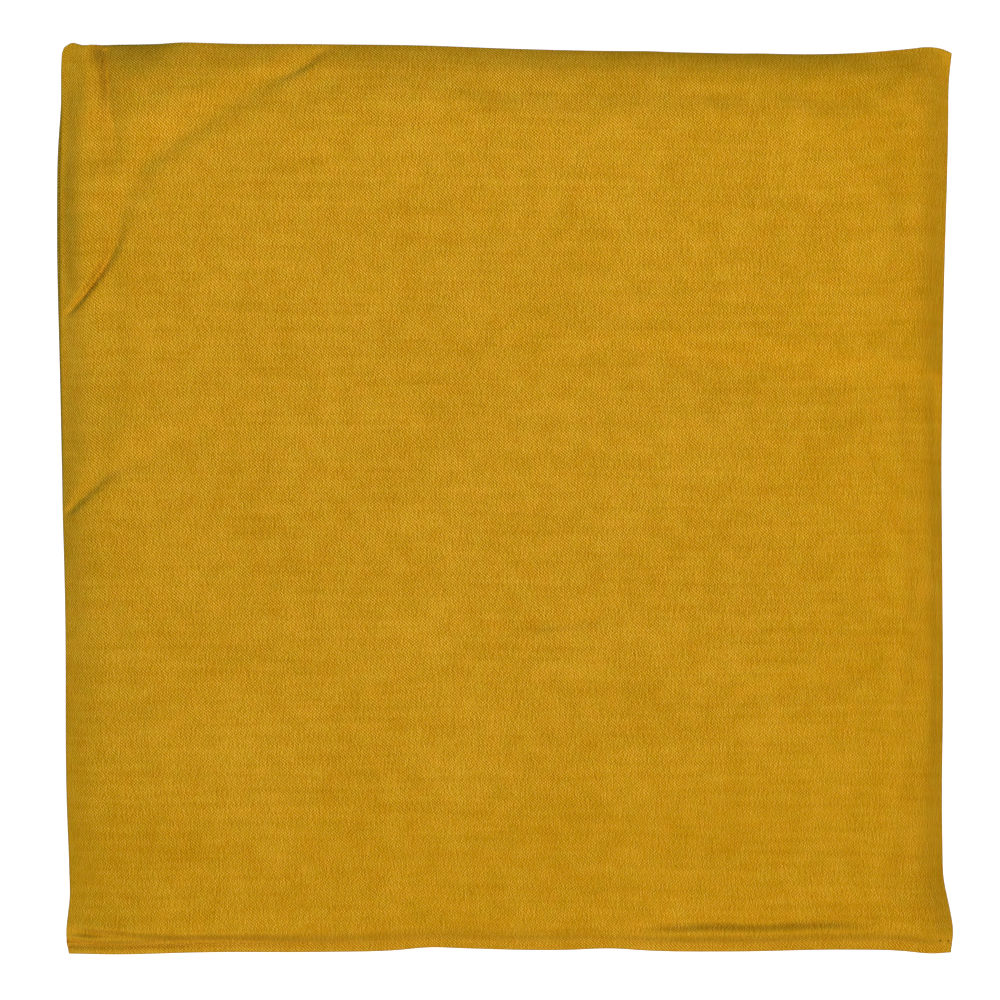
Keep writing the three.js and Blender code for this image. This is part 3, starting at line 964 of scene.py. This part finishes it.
# Chance patterns: patches to a millimetre across and along, and where the pattern starts
WANDER_ACROSS = (0.03, 0.03, 0.0)
WANDER_ALONG = (0.03, 0.03, 40.0)
FIRMNESS = (0.05, 0.05, 9.0)
WEFT_BARS = (0.02, 0.5, 30.0)
MOTTLE = (0.15, 0.15, 0.0)
PATCHES = (0.03, 0.03, 70.0)
HUES = (0.18, 0.18, 20.0)
WANDER = 0.5
FIRMNESS_RANGE = 0.5
HUE_RANGE = 2.5
HUE_DETAIL = 4.0
# From thread to thread the slubs are unlike each other, along a thread they are long
SLUB_APART = 5.3
WARP_SLUBS = 0.2
WEFT_SLUBS = 0.12
# The surface: roughness and how the weave changes it, height of the weave, and the sheen of its fluff
ROUGHNESS = 0.9
ROUGHNESS_STEP = 0.002
HEIGHT_STEP = 0.02
WEAVE_BUMP = {"Strength": 0.2, "Distance": 0.1 * MM}
FLUFF = {
    "Specular IOR Level": 0.0,
    "Sheen Weight": 0.03,
    "Sheen Roughness": 0.6,
    "Sheen Tint": (0.9, 0.85, 0.15, 1),
}
OLIVE = (0.97, 1.03, 1.0, 1)
ORANGE = (1.03, 0.97, 1.0, 1)
# Where the falling diagonals start and end to fade, in mm from the panel's middle, and to what share
LEAST_SQUARENESS = 0.25
FADE_TO_RIGHT = (-10, 160, 1.0, 0.3)
FADE_TO_NEAR = (15, -165, 1.0, 0.2)
STRONG_ON_FLAP = (-145, -149, 0.0, 0.6)
# The needle's holes, whose shade is painted as dark dots: x, y
NEEDLE_HOLES = [(145.2, -147.5), (148.0, -147.7)]
# How the painted shade of the holes fades: from and to a distance in mm, from and to a share of the colour
NEEDLE_HOLE_SHADE = (0.2, 0.55, 0.35, 1.0)
# The screen's darkest and brightest step used, and the curve from its steps to light
DARKEST, BRIGHTEST, WHITE = 2, 250, 255
CURVE_LIFT, CURVE_POWER = 0.055, 2.4
# Stops of the ramp, in steps: a new ramp already has its two ends, so those come first
RAMP_STEPS = (-MOST_STEPS, MOST_STEPS, -MOST_STEPS / 2, 0, MOST_STEPS / 2)


def cotton_shade(step):
    """The cotton's own colour, so many screen steps lighter or darker."""
    screen = np.clip(COTTON + step * STEP_SHARE, DARKEST, BRIGHTEST) / WHITE
    linear = ((screen + CURVE_LIFT) / (1 + CURVE_LIFT)) ** CURVE_POWER
    return (*(linear / LIGHT_LEVEL), 1)


COTTON_RAMP = [(0.5 + step / (2 * MOST_STEPS), cotton_shade(step)) for step in RAMP_STEPS]


def painted_hole_shade(start):
    """1 on the cloth, less in the needle's holes, whose shade is painted in as dark dots."""
    place = start.add("ShaderNodeTexCoord", {}, {}, "Object")
    across = start.add("ShaderNodeSeparateXYZ", {}, {"Vector": place}, "X")
    x, y = across * (1 / MM), across.also("Y") * (1 / MM)
    whole = 1.0
    for hole_x, hole_y in NEEDLE_HOLES:
        off_x, off_y = x - hole_x, y - hole_y
        away = (off_x * off_x + off_y * off_y).maths("SQRT")
        whole = away.eased(*NEEDLE_HOLE_SHADE) * whole
    return whole


def mustard_cotton():
    """The woven cotton: weave, lint, streaks and slow patterns, all in screen steps, then coloured."""
    material, shader, start = new_material("woven_mustard_cotton")
    place = start.add("ShaderNodeAttribute", {"attribute_name": "thread_place"}, output="Vector")
    u = start.add("ShaderNodeSeparateXYZ", {}, {"Vector": place}, "X")
    v = u.also("Y")

    def pattern(across, along, begin, detail=2.0):
        return start.chance(u * across + begin, v * along, detail)

    u_wandering = u + WANDER * pattern(*WANDER_ACROSS)
    v_wandering = v + WANDER * pattern(*WANDER_ALONG)
    warp = u_wandering * (np.pi / WARP_PITCH)
    weft = v_wandering * (np.pi / WEFT_PITCH)
    falling = (warp + weft).maths("COSINE")
    rising = (warp - weft).maths("COSINE")
    faded = u.eased(*FADE_TO_RIGHT) * v.eased(*FADE_TO_NEAR)
    squareness = LEAST_SQUARENESS + (1 - LEAST_SQUARENESS) * faded + v.eased(*STRONG_ON_FLAP)
    firmness = 1 + FIRMNESS_RANGE * pattern(*FIRMNESS)
    weave = (FALLING_STEPS * falling * squareness + RISING_STEPS * rising) * firmness

    lint_across = (u * (1 / LINT_WIDTH)).maths("FLOOR")
    lint_along = (v * (1 / LINT_LENGTH)).maths("FLOOR")
    beside = start.speckle(lint_across + 1, lint_along)
    lint = LINT_STEPS * (start.speckle(lint_across, lint_along) - NEIGHBOUR_LINT * beside)

    warp_thread = (u_wandering * (1 / WARP_PITCH)).maths("FLOOR")
    weft_thread = (v_wandering * (1 / WEFT_PITCH)).maths("FLOOR")
    numbers = [warp_thread + step for step in (0, -1, 1)]
    thread, before, after = (start.chance(number * SLUB_APART, v * WARP_SLUBS) for number in numbers)
    warp_streaks = WARP_STREAK_STEPS * (thread - NEIGHBOUR_THREAD * (before + after))
    weft_streaks = WEFT_STREAK_STEPS * start.chance(u * WEFT_SLUBS, weft_thread * SLUB_APART)

    drifts = WEFT_BAR_STEPS * pattern(*WEFT_BARS) + MOTTLE_STEPS * pattern(*MOTTLE)
    drifts = drifts + PATCH_STEPS * pattern(*PATCHES)
    steps = weave + lint + warp_streaks + weft_streaks + drifts
    shade = (0.5 + steps * (0.5 / MOST_STEPS)).along_ramp(COTTON_RAMP)
    tint = start.mixed("MIX", 0.5 + HUE_RANGE * pattern(*HUES, HUE_DETAIL), OLIVE, ORANGE)
    tinted = start.mixed("MULTIPLY", 1.0, shade, tint)
    # The cloth's colour, with the painted shade of the needle's holes multiplied in
    feed(start.mixed("MULTIPLY", 1.0, tinted, painted_hole_shade(start)), shader, "Base Color")

    feed(ROUGHNESS - ROUGHNESS_STEP * weave, shader, "Roughness")
    height = HEIGHT_STEP * (weave + warp_streaks)
    feed(start.add("ShaderNodeBump", {}, {**WEAVE_BUMP, "Height": height}), shader, "Normal")
    for socket, value in FLUFF.items():
        shader.inputs[socket].default_value = value
    return material


# The sewing thread: its twist in radians to a millimetre, and how far twist and patches shade it
TWIST = 9.0
TWIST_SHADE = 0.12
THREAD_PATCHES = (0.3, 0.11)
THREAD_PATCH_SHADE = 0.3
THREAD_ROUGHNESS = 0.8
TWIST_ROUGHNESS = 0.1
THREAD_GLOSS = 0.1


def mustard_thread():
    """The sewing thread: the cotton's colours along its twist."""
    material, shader, start = new_material("mustard_thread")
    place = start.add("ShaderNodeTexCoord", {}, {}, "Object")
    x = start.add("ShaderNodeSeparateXYZ", {}, {"Vector": place}, "X") * (1 / MM)
    twist = (x * TWIST).maths("SINE")
    patches = start.chance(*(x * scale for scale in THREAD_PATCHES))
    shade = 0.5 + TWIST_SHADE * twist + THREAD_PATCH_SHADE * patches
    feed(shade.along_ramp(COTTON_RAMP), shader, "Base Color")
    feed(THREAD_ROUGHNESS - TWIST_ROUGHNESS * twist, shader, "Roughness")
    shader.inputs["Specular IOR Level"].default_value = THREAD_GLOSS
    return material


pillow.data.materials.clear()
pillow.data.materials.append(mustard_cotton())
stitches.data.materials.append(mustard_thread())
print("materials:", [material.name for material in bpy.data.materials])

# %% [markdown]
# ## Riding on the frame
#
# The pillow stands for the plain solid, so that solid is hidden. Nothing on it moves by itself, so
# both pieces ride on the one body.

# %% Ride and replace
for piece in (pillow, stitches):
    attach(piece, "root")
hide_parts(SOLID)
print("on the body:", pillow.name, "and", stitches.name, "in place of", SOLID)

# %% [markdown]
# ## Floor, light and camera
#
# The pillow is seen from straight above on a white floor that glows like a light table, so that it
# throws no shadow. The floor is left out of the light that falls on the cloth, or its glow would wash
# out the rolled edges. The main light is broad and far away, more from the near side than from the
# far one; a weak one hangs over the far right, and a cool one stands low at the far left. A long lens
# keeps the sides parallel. The picture is 1000 pixels wide and shows 3 pixels to a millimetre, which
# sets how high the camera stands.

# %% Floor
FLOOR_HALF = 6.0
FLOOR_PAINT = {
    "Base Color": (0.3, 0.3, 0.3, 1),
    "Roughness": 0.9,
    "Emission Color": (1, 1, 1, 1),
    "Emission Strength": 1.0,
}
bm = bmesh.new()
bmesh.ops.create_grid(bm, x_segments=1, y_segments=1, size=FLOOR_HALF)
floor_mesh = bpy.data.meshes.new("floor")
bm.to_mesh(floor_mesh)
bm.free()
floor = bpy.data.objects.new("floor", floor_mesh)
bpy.context.scene.collection.objects.link(floor)
floor_paint, floor_shader, _ = new_material("floor_white")
for socket, value in FLOOR_PAINT.items():
    floor_shader.inputs[socket].default_value = value
floor_mesh.materials.append(floor_paint)
floor.visible_diffuse = False
print(f"floor {2 * FLOOR_HALF:.0f} m wide")

# %% Light
SKY = {"Color": (0.80, 1.0, 1.1, 1), "Strength": 0.22}
# Name, kind, place in metres, colour, further settings
LAMPS = [
    ("main_light", "SUN", (0.1, -1.75, 3.6), (1.0, 0.96, 0.9), {"energy": 3.33, "angle": np.radians(30)}),
    ("over_far_right", "AREA", (0.1, 0.22, 0.6), (1.0, 1.0, 1.0), {"energy": 1.3, "size": 0.3}),
    ("far_left_fill", "AREA", (-1.8, 1.2, 0.8), (0.28, 0.9, 1.0), {"energy": 9, "size": 1.0}),
]
scene = bpy.context.scene
scene.view_settings.view_transform = "Standard"
world = bpy.data.worlds.new("studio")
world.use_nodes = True
for socket, value in SKY.items():
    world.node_tree.nodes["Background"].inputs[socket].default_value = value
scene.world = world


def lamp_at(name, kind, place, colour, settings):
    """A lamp at a place in metres, turned to the pillow."""
    light = bpy.data.lights.new(name, kind)
    light.color = colour
    for setting, value in settings.items():
        setattr(light, setting, value)
    lamp = bpy.data.objects.new(name, light)
    lamp.location = place
    lamp.rotation_euler = (-Vector(place)).to_track_quat("-Z", "Y").to_euler()
    scene.collection.objects.link(lamp)


for lamp_row in LAMPS:
    lamp_at(*lamp_row)
print(len(LAMPS), "lamps")

# %% Camera
PIXELS_PER_MM = 3.0
PICTURE = 1000
MIDDLE_OF_PICTURE = (-1.7, -0.5)
OUTLINE_HEIGHT = 9.0
LENS = 180.0
SENSOR = 36.0
camera_data = bpy.data.cameras.new("above")
camera_data.lens, camera_data.sensor_width = LENS, SENSOR
camera = bpy.data.objects.new("above", camera_data)
height = PICTURE / PIXELS_PER_MM * MM * LENS / SENSOR + OUTLINE_HEIGHT * MM
camera.location = (*np.multiply(MIDDLE_OF_PICTURE, MM), height)
scene.collection.objects.link(camera)
scene.camera = camera
print(f"camera {height:.2f} m above the floor")
